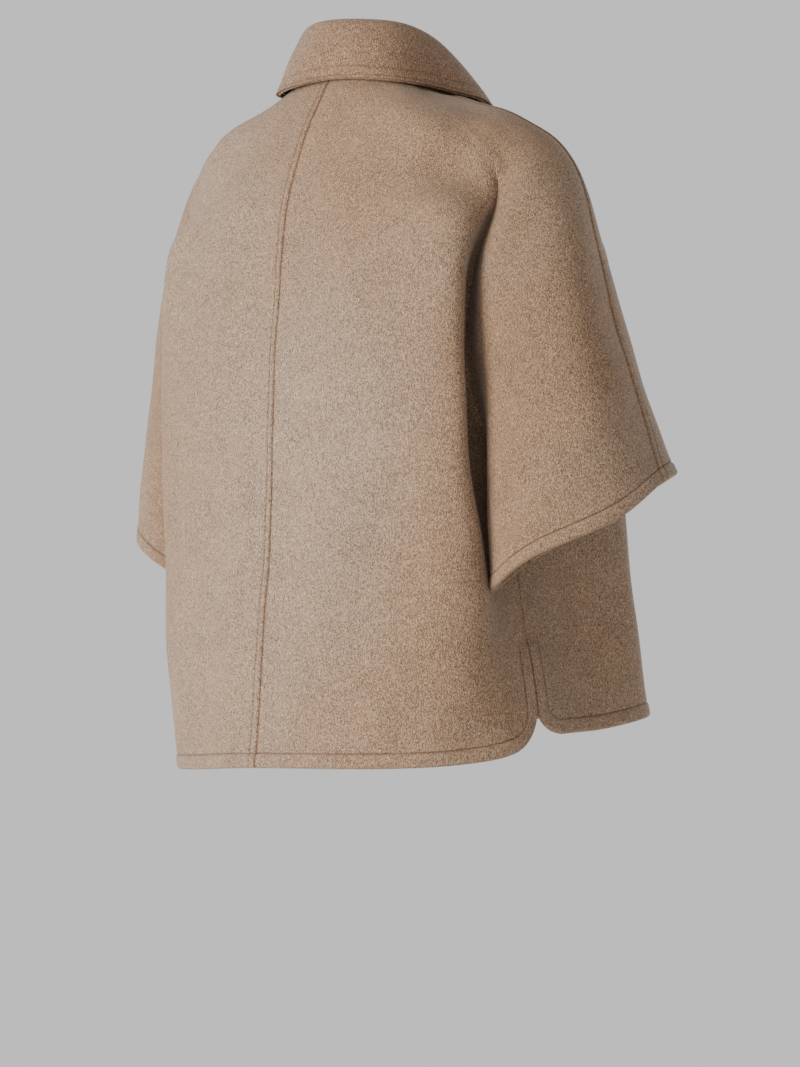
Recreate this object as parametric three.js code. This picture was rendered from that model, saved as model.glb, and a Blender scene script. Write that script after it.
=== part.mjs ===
// A worn wool cape-jacket: hip length, turned-down collar, half sleeves cut in one with the body.
// Millimetres, +Z up, the front looks along -Y and the wearer's right is -X.
// The origin is the middle of the base of the neck, where the wearer's shoulders hold the garment.
//
// The cloth is laid out as lines that run from the neck seam down to a hem. Each line is a short table
// with a row for each section. Smooth curves run down the lines, rings run across them, and each panel
// is a piece of that surface with the cloth's thickness. The underarm section is where the rings part
// into a body ring and a sleeve ring, which the side seam and the underarm seam close.
import * as THREE from "three";

// Driving sizes
const CLOTH = 3; // double-face wool
const HEM_CLOTH = 5.2; // the same cloth turned up and topstitched
const HEM_TURN = 12.5; // from the edge to the topstitching
const HEM_STEP = 1.6; // how far the turned cloth takes to reach its full thickness
const SEAM_GAP = 0.3;
const FRONT_OVERLAP = 20; // how far each front reaches past the centre line
const VENT_HEIGHT = 95; // open slit at the foot of each side seam
const VENT_SPREAD = 2.5; // how far each side of the slit stands back at the hem
const CORNER_RADIUS = 30; // rounded corner of a panel at the slit
const COLLAR_CLOTH = 4.4; // two layers, topstitched together
const COLLAR_SEAT = 2.1; // from the neck seam up to the foot of the stand
const COLLAR_ROLL = 7; // height of the turn over the top of the stand
const LEAF_SEAT = 2.6; // from the top of the stand to the start of the leaf
const DIP_SHARE = 0.3; // where the sides of a groove are held apart, on the way to its flank
const DIP_SPREAD = 5; // how far they are held apart there
const DIP_STARTS = 3; // section where the holding apart begins
const DIP_FULL = 5; // section where it is complete
const PARTING = 7; // how far the side and underarm seams draw apart just below the underarm
const PARTING_RUN = 0.25; // in how much of a section
const OVERLAP_EASE = 70; // from the centre front, where the fronts begin to move apart

// Triangle budget: cells between neighbouring lines, and rows of cells
const UPPER_ROWS = 13;
const LOWER_ROWS = 6;
const FINE_STEPS = 12; // steps per section while a line is measured

// Section of the tables in which the underarm lies, and the last one, the hem
const UNDERARM = 6;
const HEM = 8;

// Columns of the tables below
const [ACROSS, BACK, UP] = [0, 1, 2];

// Lines of the back, right side. A row for each section: neck seam, neck base, shoulder, shoulder
// point, upper arm, chest, underarm, waist, hem. Columns: across from the centre, back, up.
const CENTRE_BACK = [
  [0, 58, 28],
  [0, 80, -12],
  [0, 97, -48],
  [0, 114.5, -100],
  [0, 125.5, -160],
  [0, 133, -250],
  [0, 136, -345],
  [0, 142, -440],
  [0, 151, -581],
];
const BLADE = [
  [27, 55, 26],
  [54, 76, -12],
  [78, 92, -46],
  [98, 109, -98],
  [103, 119.5, -160],
  [104, 125.5, -250],
  [103, 126, -345],
  [102, 128.5, -440],
  [102, 133.5, -582],
];
const BACK_EDGE = [
  [48, 46, 18],
  [90, 64, -14],
  [138, 76, -46],
  [181, 66, -98],
  [181, 84, -160],
  [181, 87, -250],
  [183, 83, -345],
  [185, 67, -440],
  [178, 72, -577],
];
const BACK_FLANK = [
  [54, 41, 14],
  [97, 58, -15],
  [148, 69, -46],
  [186, 60, -98],
  [170, 71, -160],
  [163, 74, -250],
  [161, 66, -345],
  [173, 47, -440],
  [194, 48, -571],
];
const BACK_GROOVE = [
  [60, 36, 10],
  [103, 52, -16],
  [156, 61, -45],
  [187, 54, -98],
  [160, 52, -160],
  [147, 51, -250],
  [158, 15, -330],
];
const BACK_FOLD = [
  [64, 30, 6],
  [108, 45, -17],
  [162, 52, -44],
  [194, 52, -96],
  [192, 71, -157],
  [188, 69, -242],
  [184, 62, -325],
  [184, 60, -385],
  [183, 56, -436],
];
const SLEEVE_BACK = [
  [68, 23, 3],
  [112, 37, -17],
  [168, 42, -43],
  [206, 46, -90],
  [217, 59, -150],
  [227, 62, -222],
  [233, 63, -290],
  [235, 65, -350],
  [232, 69, -414],
];
const SLEEVE_OUTER = [
  [72, 12, -1],
  [117, 24, -17],
  [176, 26, -40],
  [219, 24, -80],
  [240, 30, -138],
  [254, 32, -202],
  [267, 30, -264],
  [279, 29, -324],
  [290, 18, -378],
];
const OVERARM = [
  [74, 2, -3],
  [120, 10, -17],
  [181, 4, -42],
  [214, -6, -74],
  [232, -8, -120],
  [242, -14, -177],
  [258, -20, -237],
  [275, -26, -293],
  [296, -26, -348],
];

// Lines of the front, right side, from the overarm seam to the centre front
const SLEEVE_FRONT = [
  [73, -10, -6],
  [119, -6, -19],
  [174, -10, -43],
  [203, -23, -78],
  [217, -35, -130],
  [230, -45, -188],
  [244, -53, -242],
  [257, -60, -290],
  [282, -61, -338],
];
const SLEEVE_INNER = [
  [69, -22, -10],
  [113, -22, -23],
  [161, -28, -48],
  [187, -44, -88],
  [198, -57, -145],
  [206, -69, -205],
  [214, -77, -260],
  [220, -80, -308],
  [231, -82, -350],
];
const FRONT_FOLD = [
  [66, -29, -12],
  [108, -30, -26],
  [153, -37, -52],
  [177, -53, -93],
  [182, -66, -152],
  [180, -66, -228],
  [180, -46, -312],
  [184, -44, -350],
  [190, -43, -384],
];
const FRONT_GROOVE = [
  [62, -36, -15],
  [103, -38, -29],
  [144, -46, -56],
  [168, -62, -98],
  [166, -62, -160],
  [158, -44, -245],
  [158, 15, -330],
];
const FRONT_FLANK = [
  [58, -43, -19],
  [97, -47, -32],
  [136, -56, -58],
  [165, -73, -100],
  [168, -77, -160],
  [172, -76, -245],
  [168, -55, -340],
  [174, -58, -432],
  [201, -52, -549],
];
const FRONT_EDGE = [
  [53, -50, -22],
  [90, -56, -36],
  [127, -65, -60],
  [160, -82, -102],
  [173, -92, -160],
  [179, -95, -245],
  [183, -98, -340],
  [188, -105, -430],
  [199, -116, -538],
];
const BREAST = [
  [32, -66, -32],
  [60, -82, -52],
  [82, -96, -78],
  [98, -112, -114],
  [106, -124, -166],
  [110, -132, -250],
  [112, -138, -342],
  [114, -147, -432],
  [118, -158, -537],
];
const CENTRE_FRONT = [
  [0, -73, -40],
  [0, -92, -63],
  [0, -106, -90],
  [0, -124, -125],
  [0, -137, -172],
  [0, -146, -250],
  [0, -152, -342],
  [0, -161, -432],
  [0, -172, -537],
];

// Seams that start at the underarm. A row for each section from the underarm to the hem.
const SIDE_SEAM = [
  [158, 15, -330],
  [172, 6, -430],
  [205, 14, -558],
];
const UNDERARM_SEAM = [
  [158, 15, -330],
  [163, 12, -372],
  [170, 8, -412],
];

// The wearer's left shoulder is held a little higher: how much, for each section
const LEFT_LIFT = [6, 13, 16, 18, 19, 20, 21, 23, 24];
// Share of that lift left on the body below the underarm
const BODY_LIFT = [1, 1, 1, 1, 1, 1, 0.8, 0.3, 0];

// For each line: its table, its share of the left lift, whether it belongs to the body below the
// underarm, and the section its table starts at
const LINES = {
  centreBack: { rows: CENTRE_BACK, lift: 0, body: true },
  blade: { rows: BLADE, lift: 0.2, body: true },
  backEdge: { rows: BACK_EDGE, lift: 0.6, body: true },
  backFlank: { rows: BACK_FLANK, lift: 0.75, body: true },
  backGroove: { rows: BACK_GROOVE, lift: 0.9 },
  backFold: { rows: BACK_FOLD, lift: 1 },
  sleeveBack: { rows: SLEEVE_BACK, lift: 1 },
  sleeveOuter: { rows: SLEEVE_OUTER, lift: 1 },
  overarm: { rows: OVERARM, lift: 1 },
  sleeveFront: { rows: SLEEVE_FRONT, lift: 1 },
  sleeveInner: { rows: SLEEVE_INNER, lift: 1 },
  frontFold: { rows: FRONT_FOLD, lift: 1 },
  frontGroove: { rows: FRONT_GROOVE, lift: 0.9 },
  frontFlank: { rows: FRONT_FLANK, lift: 0.75, body: true },
  frontEdge: { rows: FRONT_EDGE, lift: 0.6, body: true },
  breast: { rows: BREAST, lift: 0.2, body: true },
  centreFront: { rows: CENTRE_FRONT, lift: 0, body: true },
  sideSeam: { rows: SIDE_SEAM, lift: 0.9, body: true, first: UNDERARM },
  underarmSeam: { rows: UNDERARM_SEAM, lift: 0.9, first: UNDERARM },
};

// Rings across the lines: [line, cells to the next one, how they crowd towards a line if not even]
const CROWD = 1.7;
const FULL_RING = [
  ["centreBack", 5],
  ["blade", 5],
  ["backEdge", 3],
  ["backFlank", 3],
  ["backDipIn", 1],
  ["backGroove", 1],
  ["backDipOut", 2],
  ["backFold", 3],
  ["sleeveBack", 3],
  ["sleeveOuter", 3],
  ["overarm", 3],
  ["sleeveFront", 3],
  ["sleeveInner", 2],
  ["frontFold", 2],
  ["frontDipOut", 1],
  ["frontGroove", 1],
  ["frontDipIn", 3],
  ["frontFlank", 2],
  ["frontEdge", 5],
  ["breast", 5],
  ["centreFront", 0],
];
const BODY_RING = [
  ["centreBack", 5],
  ["blade", 5],
  ["backEdge", 3],
  ["backFlank", 4, CROWD],
  ["sideSeam", 4, 1 / CROWD],
  ["frontFlank", 2],
  ["frontEdge", 5],
  ["breast", 5],
  ["centreFront", 0],
];
const SLEEVE_RING = [
  ["underarmSeam", 3],
  ["backFold", 3],
  ["sleeveBack", 3],
  ["sleeveOuter", 3],
  ["overarm", 3],
  ["sleeveFront", 3],
  ["sleeveInner", 2],
  ["frontFold", 3],
  ["underarmSeam", 0],
];
const OVERLAP_CELLS = 2; // past the centre front

// Collar, right half, a row for each place round the neck from the centre back to the front end:
// top of the turn and outer edge of the leaf. Columns: across, back, up.
const COLLAR_TOP = [
  [0, 55, 64.5],
  [41, 40, 60],
  [52, 18, 55],
  [57, -4, 44],
  [56, -28, 24],
  [43, -53, 1],
  [6, -69, -13],
];
const COLLAR_EDGE = [
  [0, 75, 11],
  [65, 66, 5],
  [85, 25, 1.5],
  [90, -8, -3],
  [86, -44, -9],
  [76, -84, -44],
  [50, -108, -82],
];
// Neck seam under each of those places: [line, line, share of the way to the second]
const COLLAR_FOOT = [
  ["centreBack", "blade", 0],
  ["backEdge", "backFlank", 0],
  ["sleeveBack", "sleeveOuter", 0],
  ["overarm", "sleeveFront", 0.6],
  ["frontFold", "frontGroove", 0],
  ["breast", "frontEdge", 0.4],
  ["centreFront", "breast", 0.1],
];
// How much higher the left half of each lies
const TOP_LIFT = [0, 7, 8, 8, 7, 4, 1];
const EDGE_LIFT = [0, 4, 9, 12, 11, 7, 2];
// The leaf's turn over the top of the stand. Columns: out from the stand, down from the top.
const LEAF_TURN = [
  [2.4, 0.6],
  [8.4, 1.4],
];
const COLLAR_CELLS = 4; // between neighbouring rows of the collar's tables
const STAND_CELLS = 2;
const LEAF_SHAPE = [
  // share of the way from the turn to the edge, height above that straight way
  [0.2, 2.8],
  [0.4, 3.2],
  [0.6, 3],
  [0.8, 1.8],
];

const WOOL = { color: 0xb1a08f, roughness: 0.95, metalness: 0 };
const SHADED_WOOL = { color: 0x98816b, roughness: 0.95, metalness: 0 };

// Small vector helpers on [across, back, up] triples
const add = (a, b, k = 1) => [a[0] + b[0] * k, a[1] + b[1] * k, a[2] + b[2] * k];
const sub = (a, b) => add(a, b, -1);
const cross = (a, b) => [
  a[1] * b[2] - a[2] * b[1],
  a[2] * b[0] - a[0] * b[2],
  a[0] * b[1] - a[1] * b[0],
];
const length = (a) => Math.hypot(a[0], a[1], a[2]);
const unit = (a) => a.map((v) => v / (length(a) || 1));
const dot = (a, b) => a[0] * b[0] + a[1] * b[1] + a[2] * b[2];
const mix = (a, b, t) => add(a, sub(b, a), t);
const smooth = (t) => {
  const s = Math.min(1, Math.max(0, t));
  return s * s * (3 - 2 * s);
};

// Natural cubic spline through points at knots, as a function of the knot value
function spline(points, knots) {
  const n = points.length;
  const bend = points.map(() => [0, 0, 0]);
  const upper = new Array(n).fill(0);
  for (let i = 1; i < n - 1; i++) {
    const before = knots[i] - knots[i - 1];
    const after = knots[i + 1] - knots[i];
    const pivot = 2 * (before + after) - before * upper[i - 1];
    upper[i] = after / pivot;
    for (let k = 0; k < 3; k++) {
      const rise = (points[i + 1][k] - points[i][k]) / after;
      const fall = (points[i][k] - points[i - 1][k]) / before;
      bend[i][k] = (6 * (rise - fall) - before * bend[i - 1][k]) / pivot;
    }
  }
  for (let i = n - 2; i > 0; i--) bend[i] = add(bend[i], bend[i + 1], -upper[i]);
  return (q) => {
    let i = 0;
    while (i < n - 2 && q > knots[i + 1]) i++;
    const span = knots[i + 1] - knots[i];
    const a = (knots[i + 1] - q) / span;
    const b = (q - knots[i]) / span;
    const flat = mix(points[i], points[i + 1], b);
    const pull = (span * span) / 6;
    return add(add(flat, bend[i], (a ** 3 - a) * pull), bend[i + 1], (b ** 3 - b) * pull);
  };
}

function chordKnots(points) {
  const knots = [0];
  for (let i = 1; i < points.length; i++) {
    knots.push(knots[i - 1] + length(sub(points[i], points[i - 1])));
  }
  return knots;
}

// Curves down the lines of one side; side is -1 for the right and 1 for the left
function linesOf(side) {
  const curves = {};
  for (const [name, line] of Object.entries(LINES)) {
    const first = line.first || 0;
    const points = line.rows.map((row, i) => {
      const held = line.body ? BODY_LIFT[first + i] : 1;
      const lift = side > 0 ? LEFT_LIFT[first + i] * line.lift * held : 0;
      return [row[ACROSS], row[BACK], row[UP] + lift];
    });
    const knots = points.map((_, i) => first + i);
    curves[name] = spline(points, knots);
  }
  const { sideSeam, underarmSeam } = curves;
  const parted = (q) => PARTING * (1 - Math.max(0, 1 - (q - UNDERARM) / PARTING_RUN) ** 2);
  curves.sideSeam = (q) => add(sideSeam(q), [-parted(q), 0, 0]);
  curves.underarmSeam = (q) => add(underarmSeam(q), [parted(q), 0, 0]);
  for (const half of ["back", "front"]) {
    curves[half + "DipIn"] = dipBeside(curves, half + "Groove", half + "Flank", half + "Fold");
    curves[half + "DipOut"] = dipBeside(curves, half + "Groove", half + "Fold", half + "Flank");
  }
  return curves;
}

// A groove has a round bottom: a line on its way up to the near side, held away from the far side
function dipBeside(curves, groove, near, far) {
  return (q) => {
    const wall = curves[near](q);
    const other = curves[far](q);
    const away = unit([wall[ACROSS] - other[ACROSS], wall[BACK] - other[BACK], 0]);
    const strength = smooth((q - DIP_STARTS) / (DIP_FULL - DIP_STARTS));
    return add(mix(curves[groove](q), wall, DIP_SHARE), away, DIP_SPREAD * strength);
  };
}

const mirrored = (p) => [-p[0], p[1], p[2]];

// Points across one section. A closed ring returns to its start; an open one is carried over the
// centre line by its own mirror image, and past the centre front by the overlap.
function ringPoints(curves, ring, section, closed) {
  const keys = ring.map(([name]) => curves[name](section));
  const n = keys.length;
  const before = closed ? keys.slice(n - 4, n - 1) : keys.slice(1, 4).reverse().map(mirrored);
  const after = closed ? keys.slice(1, 4) : keys.slice(n - 4, n - 1).reverse().map(mirrored);
  const points = [...before, ...keys, ...after];
  const knots = chordKnots(points);
  const curve = spline(points, knots);
  const row = [];
  ring.forEach(([, cells, crowd = 1], i) => {
    const start = knots[i + 3];
    const span = knots[i + 4] - start;
    for (let k = 0; k < cells; k++) {
      const even = k / cells;
      const share = crowd > 1 ? 1 - (1 - even) ** crowd : even ** (1 / crowd);
      row.push(curve(start + span * share));
    }
  });
  const end = knots[n + 2];
  row.push(curve(end));
  if (!closed) {
    for (let k = 1; k <= OVERLAP_CELLS; k++) {
      row.push(curve(end + (FRONT_OVERLAP * k) / OVERLAP_CELLS));
    }
  }
  return row;
}

const cellsBefore = (ring, name) => {
  let count = 0;
  for (const [line, cells] of ring) {
    if (line === name) return count;
    count += cells;
  }
  return count;
};
const GROOVE_AT = cellsBefore(FULL_RING, "backGroove");
const OVERARM_AT = cellsBefore(FULL_RING, "overarm");
const FRONT_GROOVE_AT = cellsBefore(FULL_RING, "frontGroove");
const CENTRE_FRONT_AT = cellsBefore(FULL_RING, "centreFront");
const SLEEVE_CELLS = FRONT_GROOVE_AT - GROOVE_AT;
const FADE = 0.35; // sections over which the parted rings leave the shape of the underarm section

// Fine rings below the underarm, made to start exactly on the underarm's full ring
function lowerRings(curves, ring, closed, start) {
  const rows = [];
  const steps = (HEM - UNDERARM) * FINE_STEPS;
  let miss;
  for (let i = 0; i <= steps; i++) {
    const section = UNDERARM + i / FINE_STEPS;
    const row = ringPoints(curves, ring, section, closed);
    if (i === 0) miss = row.map((p, c) => sub(start[c], p));
    const held = Math.exp(-(((section - UNDERARM) / FADE) ** 1.5));
    rows.push(row.map((p, c) => add(p, miss[c], held)));
  }
  return rows;
}

// Point at a distance down a column of fine rows
function alongColumn(rows, column, distance) {
  let left = distance;
  for (let i = 1; i < rows.length; i++) {
    const a = rows[i - 1][column];
    const b = rows[i][column];
    const step = length(sub(b, a));
    if (left <= step || i === rows.length - 1) return mix(a, b, left / step);
    left -= step;
  }
  return rows[0][column];
}

// Rows below the underarm: even ones down to the topstitching, one where the turned cloth has its
// full thickness, and the edge, which is trimmed to a round corner where trim says so
function finishRows(rows, trim) {
  const columns = rows[0].length;
  const made = [];
  for (let r = 1; r <= LOWER_ROWS + 2; r++) made.push([]);
  for (let c = 0; c < columns; c++) {
    let total = 0;
    for (let i = 1; i < rows.length; i++) total += length(sub(rows[i][c], rows[i - 1][c]));
    const end = total - trim(c);
    const plain = end - HEM_TURN - HEM_STEP;
    for (let r = 1; r <= LOWER_ROWS; r++) {
      made[r - 1].push(alongColumn(rows, c, (plain * r) / LOWER_ROWS));
    }
    made[LOWER_ROWS].push(alongColumn(rows, c, end - HEM_TURN));
    made[LOWER_ROWS + 1].push(alongColumn(rows, c, end));
  }
  return made;
}

// The whole cloth of one side as shared points: full rings to the underarm, then two sets of rings.
// Each point keeps what the panels need: its place, its thickness and where it lies.
function clothOf(side) {
  const curves = linesOf(side);
  const points = [];
  const put = (p, thickness) => {
    points.push({ at: [p[0] * side, p[1], p[2]], thickness, normal: [0, 0, 0] });
    return points.length - 1;
  };
  const upper = [];
  let start;
  for (let r = 0; r <= UPPER_ROWS; r++) {
    start = ringPoints(curves, FULL_RING, (UNDERARM * r) / UPPER_ROWS, false);
    upper.push(start.map((p) => put(p, CLOTH)));
  }
  const onBody = [...start.slice(0, GROOVE_AT + 1), ...start.slice(FRONT_GROOVE_AT + 1)];
  const onSleeve = start.slice(GROOVE_AT, FRONT_GROOVE_AT + 1);
  const bodyFine = lowerRings(curves, BODY_RING, false, onBody);
  const sleeveFine = lowerRings(curves, SLEEVE_RING, true, onSleeve);
  const hemRow = bodyFine[bodyFine.length - 1];
  const hemKnots = chordKnots(hemRow);
  const trim = (c) => {
    const away = Math.abs(hemKnots[c] - hemKnots[GROOVE_AT]);
    if (away >= CORNER_RADIUS) return 0;
    return CORNER_RADIUS - Math.sqrt(CORNER_RADIUS ** 2 - (CORNER_RADIUS - away) ** 2);
  };
  const top = upper[UPPER_ROWS];
  const sameAsGroove = top[GROOVE_AT];
  top[FRONT_GROOVE_AT] = sameAsGroove; // both grooves meet at the underarm
  const body = [[...top.slice(0, GROOVE_AT + 1), ...top.slice(FRONT_GROOVE_AT + 1)]];
  const sleeve = [top.slice(GROOVE_AT, FRONT_GROOVE_AT + 1)];
  const layRows = (rows, grid, closed) =>
    rows.forEach((row, r) => {
      const thickness = r >= LOWER_ROWS ? HEM_CLOTH : CLOTH;
      const ids = row.map((p, c) => (closed && c === row.length - 1 ? -1 : put(p, thickness)));
      if (closed) ids[ids.length - 1] = ids[0];
      grid.push(ids);
    });
  layRows(finishRows(bodyFine, trim), body, false);
  layRows(finishRows(sleeveFine, () => 0), sleeve, true);
  addNormals(points, [upper, body, sleeve], side);
  return { points, upper, body, sleeve, side };
}

// Triangles of a grid of point numbers between two columns, facing out of the garment
function gridFaces(grid, from, to, side) {
  const faces = [];
  for (let r = 0; r + 1 < grid.length; r++) {
    for (let c = from; c < to; c++) {
      const [a, b] = [grid[r][c], grid[r][c + 1]];
      const [d, e] = [grid[r + 1][c], grid[r + 1][c + 1]];
      const pair = [
        [a, b, e],
        [a, e, d],
      ];
      for (const f of pair) {
        if (f[0] === f[1] || f[1] === f[2] || f[0] === f[2]) continue;
        faces.push(side > 0 ? f : [f[0], f[2], f[1]]);
      }
    }
  }
  return faces;
}

function addNormals(points, grids, side) {
  for (const grid of grids) {
    for (const [a, b, c] of gridFaces(grid, 0, grid[0].length - 1, side)) {
      const [p, q, s] = [points[a].at, points[b].at, points[c].at];
      const area = cross(sub(q, p), sub(s, p));
      for (const id of [a, b, c]) points[id].normal = add(points[id].normal, area);
    }
  }
  for (const grid of grids.slice(0, 2)) {
    for (const row of grid) points[row[0]].normal[0] = 0; // the two halves meet square at the back
  }
  for (const point of points) point.normal = unit(point.normal);
}

// A closed solid from a sheet of triangles: points with a place, a normal and a thickness
function thicken(points, faces) {
  const number = new Map();
  const outer = [];
  const inner = [];
  const idOf = (id) => {
    if (!number.has(id)) {
      const { at, normal, thickness } = points[id];
      number.set(id, outer.length);
      outer.push(add(at, normal, thickness / 2));
      inner.push(add(at, normal, -thickness / 2));
    }
    return number.get(id);
  };
  const tops = faces.map((f) => f.map(idOf));
  const count = outer.length;
  const index = [];
  const edges = new Map();
  for (const [a, b, c] of tops) {
    index.push(a, b, c, c + count, b + count, a + count);
    for (const [from, to] of [[a, b], [b, c], [c, a]]) edges.set(from + "," + to, [from, to]);
  }
  for (const [from, to] of edges.values()) {
    if (edges.has(to + "," + from)) continue;
    // neighbours at a seam split their facing edges along the same diagonal
    if (outer[from][UP] > outer[to][UP]) index.push(to, from, from + count, to, from + count, to + count);
    else index.push(to, from, to + count, from, from + count, to + count);
  }
  const geometry = new THREE.BufferGeometry();
  const places = [...outer, ...inner].flat();
  geometry.setAttribute("position", new THREE.Float32BufferAttribute(places, 3));
  geometry.setIndex(index);
  geometry.computeVertexNormals();
  return geometry;
}

function meshOf(name, geometry, finish) {
  const mesh = new THREE.Mesh(geometry, new THREE.MeshStandardMaterial(finish));
  mesh.name = name;
  return mesh;
}

// Moves the points along one edge of a panel back from the seam line, square to it and in the cloth
function pullBack(points, line, toward, amountAt) {
  const moved = line.map((id, i) => {
    const { at, normal } = points[id];
    const before = points[line[Math.max(0, i - 1)]].at;
    const after = points[line[Math.min(line.length - 1, i + 1)]].at;
    const along = unit(sub(after, before));
    const square = unit(cross(normal, along));
    return add(at, square, Math.sign(dot(square, toward)) * amountAt(at));
  });
  line.forEach((id, i) => {
    points[id] = { ...points[id], at: moved[i] };
  });
}

// One panel with its half of each seam gap taken off. The back panel runs from the centre back to
// the overarm seam, and the front panel from there past the centre front.
function panel(cloth, name, isBack) {
  const { upper, body, sleeve, side } = cloth;
  const points = cloth.points.map((p) => ({ ...p }));
  const half = SEAM_GAP / 2;
  const last = CENTRE_FRONT_AT + OVERLAP_CELLS;
  const bodyLast = last - SLEEVE_CELLS;
  const overarmInSleeve = OVERARM_AT - GROOVE_AT;
  const faces = isBack
    ? [
        ...gridFaces(upper, 0, OVERARM_AT, side),
        ...gridFaces(body, 0, GROOVE_AT, side),
        ...gridFaces(sleeve, 0, overarmInSleeve, side),
      ]
    : [
        ...gridFaces(upper, OVERARM_AT, last, side),
        ...gridFaces(body, GROOVE_AT, bodyLast, side),
        ...gridFaces(sleeve, overarmInSleeve, SLEEVE_CELLS, side),
      ];
  const inward = [0, isBack ? 1 : -1, 0];
  const overarmLine = [
    ...upper.map((row) => row[OVERARM_AT]),
    ...sleeve.slice(1).map((row) => row[overarmInSleeve]),
  ];
  const sideLine = body.map((row) => row[GROOVE_AT]);
  const underLine = sleeve.map((row) => row[0]);
  const ventDepth = VENT_HEIGHT - CORNER_RADIUS;
  const ventTop = points[sideLine[sideLine.length - 1]].at[UP] + ventDepth;
  const sideGap = (at) => half + VENT_SPREAD * smooth((ventTop - at[UP]) / ventDepth);
  pullBack(points, overarmLine, inward, () => half);
  pullBack(points, [...sideLine.slice(1).reverse(), ...underLine], inward, sideGap);
  if (isBack) {
    const centreLine = [...upper.map((row) => row[0]), ...body.slice(1).map((row) => row[0])];
    pullBack(points, centreLine, [side, 0, 0], () => half);
  } else {
    layOverlap(points, [...upper, ...body.slice(1)], side);
  }
  return meshOf(name, thicken(points, faces), WOOL);
}

// At the centre front the right front lies on the left one: each moves half of the way
function layOverlap(points, rows, side) {
  const done = new Set();
  for (const row of rows) {
    for (const id of row) {
      const point = points[id];
      if (done.has(id) || point.at[BACK] > 0) continue;
      done.add(id);
      const past = point.at[ACROSS] * side;
      const share = smooth((OVERLAP_EASE - past) / (OVERLAP_EASE - FRONT_OVERLAP));
      const shift = ((HEM_CLOTH + SEAM_GAP * 2) / 2) * share * -side;
      points[id] = { ...point, at: add(point.at, point.normal, shift) };
    }
  }
}

// Places round the collar: the right front end, back round the neck, the left front end
function collarPlaces() {
  const places = [];
  const rows = COLLAR_TOP.length;
  for (const side of [-1, 1]) {
    const curves = linesOf(side);
    for (let i = side < 0 ? 0 : 1; i < rows; i++) {
      const held = side > 0 ? 1 : 0;
      const [from, to, share] = COLLAR_FOOT[i];
      const foot = mix(curves[from](0), curves[to](0), share);
      const lay = (p, rise) => [p[ACROSS] * side, p[BACK], p[UP] + rise];
      const place = {
        foot: lay(foot, COLLAR_SEAT),
        top: lay(COLLAR_TOP[i], TOP_LIFT[i] * held),
        edge: lay(COLLAR_EDGE[i], EDGE_LIFT[i] * held),
      };
      if (side < 0) places.unshift(place);
      else places.push(place);
    }
  }
  return places;
}

// A sheet through smooth curves: rows run round the neck, columns across the collar
function collarSheet(profileOf) {
  const places = collarPlaces();
  const knots = places.map((_, i) => i);
  const profiles = places.map(profileOf);
  const columns = profiles[0].map((_, k) => spline(profiles.map((p) => p[k]), knots));
  const points = [];
  const grid = columns.map(() => []);
  const steps = (places.length - 1) * COLLAR_CELLS;
  for (let i = 0; i <= steps; i++) {
    columns.forEach((curve, k) => {
      grid[k].push(points.length);
      points.push({ at: curve(i / COLLAR_CELLS), thickness: 0, normal: [0, 0, 0] });
    });
  }
  return { points, grid };
}

function solidSheet(name, sheet, thickness, finish) {
  const { points, grid } = sheet;
  const faces = gridFaces(grid, 0, grid[0].length - 1, 1);
  for (const [a, b, c] of faces) {
    const area = cross(sub(points[b].at, points[a].at), sub(points[c].at, points[a].at));
    for (const id of [a, b, c]) points[id].normal = add(points[id].normal, area);
  }
  for (const point of points) {
    point.normal = unit(point.normal);
    point.thickness = thickness;
  }
  return meshOf(name, thicken(points, faces), finish);
}

// Directions at a place on the collar: out from the neck, and up square to the line of the turn
function collarAxes(places, i) {
  const before = places[Math.max(0, i - 1)].top;
  const after = places[Math.min(places.length - 1, i + 1)].top;
  const along = unit(sub(after, before));
  const outward = unit([-along[BACK], along[ACROSS], 0]);
  return { outward, upward: cross(along, outward) };
}

// The stand runs from the neck seam up to the turn
function standProfile({ foot, top }, i, places) {
  const head = add(top, collarAxes(places, i).upward, -COLLAR_ROLL);
  const profile = [];
  for (let k = 0; k <= STAND_CELLS; k++) profile.push(mix(head, foot, k / STAND_CELLS));
  return profile;
}

// The leaf turns over the top of the stand and falls to its edge
function leafProfile({ top, edge }, i, places) {
  const { outward, upward } = collarAxes(places, i);
  const start = add(top, upward, LEAF_SEAT - COLLAR_ROLL);
  const turn = LEAF_TURN.map(([out, down]) => add(add(top, outward, out), upward, -down));
  const over = turn[turn.length - 1];
  const fall = sub(edge, over);
  const rise = unit(cross(cross(fall, outward), fall));
  const lifted = rise[UP] < 0 ? rise.map((v) => -v) : rise;
  const middle = LEAF_SHAPE.map(([share, height]) => add(mix(over, edge, share), lifted, height));
  return [start, ...turn, ...middle, edge];
}

const cape = new THREE.Group();
cape.name = "wool_cape";
for (const [side, hand] of [
  [-1, "right"],
  [1, "left"],
]) {
  const cloth = clothOf(side);
  cape.add(panel(cloth, "back_" + hand, true));
  cape.add(panel(cloth, "front_" + hand, false));
}
cape.add(solidSheet("collar_stand", collarSheet(standProfile), CLOTH, SHADED_WOOL));
cape.add(solidSheet("collar_leaf", collarSheet(leafProfile), COLLAR_CLOTH, SHADED_WOOL));

export default cape;
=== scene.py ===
"""A wool cape in the form it has when worn, dressed over its CAD frame.

The cloth is laid out as in the part's source: lines run from the neck seam down to a hem, rings run
across them, and the underarm is where the rings part into a body ring and a sleeve ring. Here the same
surface is cut much finer, and gets its hems, lapped seams, topstitching and soft creases.
Sizes below are in millimetres. The front looks along -Y and the right side, as worn, is -X.
"""

import math

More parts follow.
